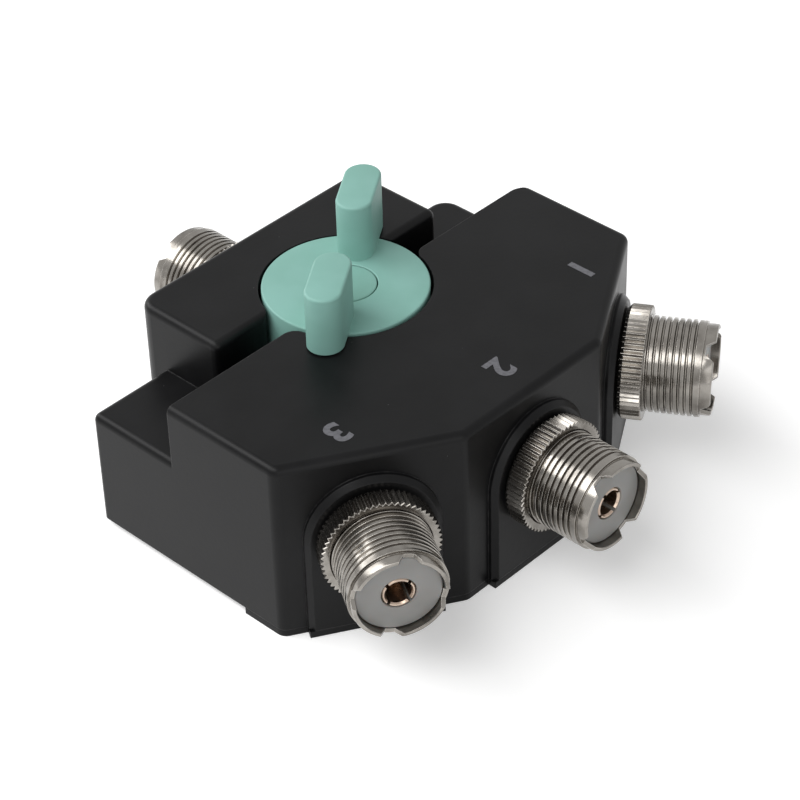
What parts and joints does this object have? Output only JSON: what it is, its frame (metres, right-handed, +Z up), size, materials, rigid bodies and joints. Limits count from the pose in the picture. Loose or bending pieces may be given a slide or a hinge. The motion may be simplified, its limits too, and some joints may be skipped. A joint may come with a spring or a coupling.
{
  "type": "coaxial antenna switch",
  "caption": "Cast box with threaded coaxial sockets on its sides and a two-post knob that turns a rotor to join the rear socket to one of the front sockets.",
  "frame": {"origin": "on the knob's axis, on the underside of the bottom plate", "axes": "+Z up along the knob's axis, +X along the channel in the top, +Y towards the common socket at the rear"},
  "size_m": [0.0872, 0.0966, 0.044],
  "materials": {
    "black_paint": "satin",
    "black_plate": "satin",
    "dark_steel": "satin",
    "nickel": "plated",
    "insulator_white": "matte",
    "contact_copper": "plated",
    "spring_bronze": "bare",
    "teal_plastic": "satin",
    "steel": "plated",
    "brass": "bare",
    "nylon": "matte",
    "laminate": "matte"
  },
  "bodies": {
    "switch_box": {"housing": "black_paint", "bottom_plate": "black_plate", "bottom_plate_screws": "dark_steel", "common_shell": "nickel", "common_nut": "nickel", "common_insulator": "insulator_white", "common_contact": "contact_copper", "common_contact_spring": "spring_bronze", "port_1_shell": "nickel", "port_1_nut": "nickel", "port_1_insulator": "insulator_white", "port_1_contact": "contact_copper", "port_1_contact_spring": "spring_bronze", "port_2_shell": "nickel", "port_2_nut": "nickel", "port_2_insulator": "insulator_white", "port_2_contact": "contact_copper", "port_2_contact_spring": "spring_bronze", "port_3_shell": "nickel", "port_3_nut": "nickel", "port_3_insulator": "insulator_white", "port_3_contact": "contact_copper", "port_3_contact_spring": "spring_bronze", "shaft_bush": "brass", "detent_spring": "steel", "detent_spring_screw": "steel", "stop_pin": "steel", "grounding_spring": "spring_bronze", "grounding_spring_screw": "steel"},
    "knob_and_rotor": {"knob": "teal_plastic", "knob_cap": "teal_plastic", "knob_screw": "steel", "shaft": "brass", "thrust_washer": "steel", "shaft_clip": "steel", "rotor_clip": "steel", "detent_wheel": "nylon", "rotor": "laminate", "rotor_blade": "brass", "blade_rivets": "brass", "grounding_ring": "brass", "ring_rivets": "brass"}
  },
  "joints": [
    {"name": "knob_turn", "type": "hinge", "parent": "switch_box", "child": "knob_and_rotor", "pos_m": [0, 0, 0.03], "axis": [0, 0, 1], "range_deg": [0, 113.4], "deforming": ["detent_spring"]}
  ]
}
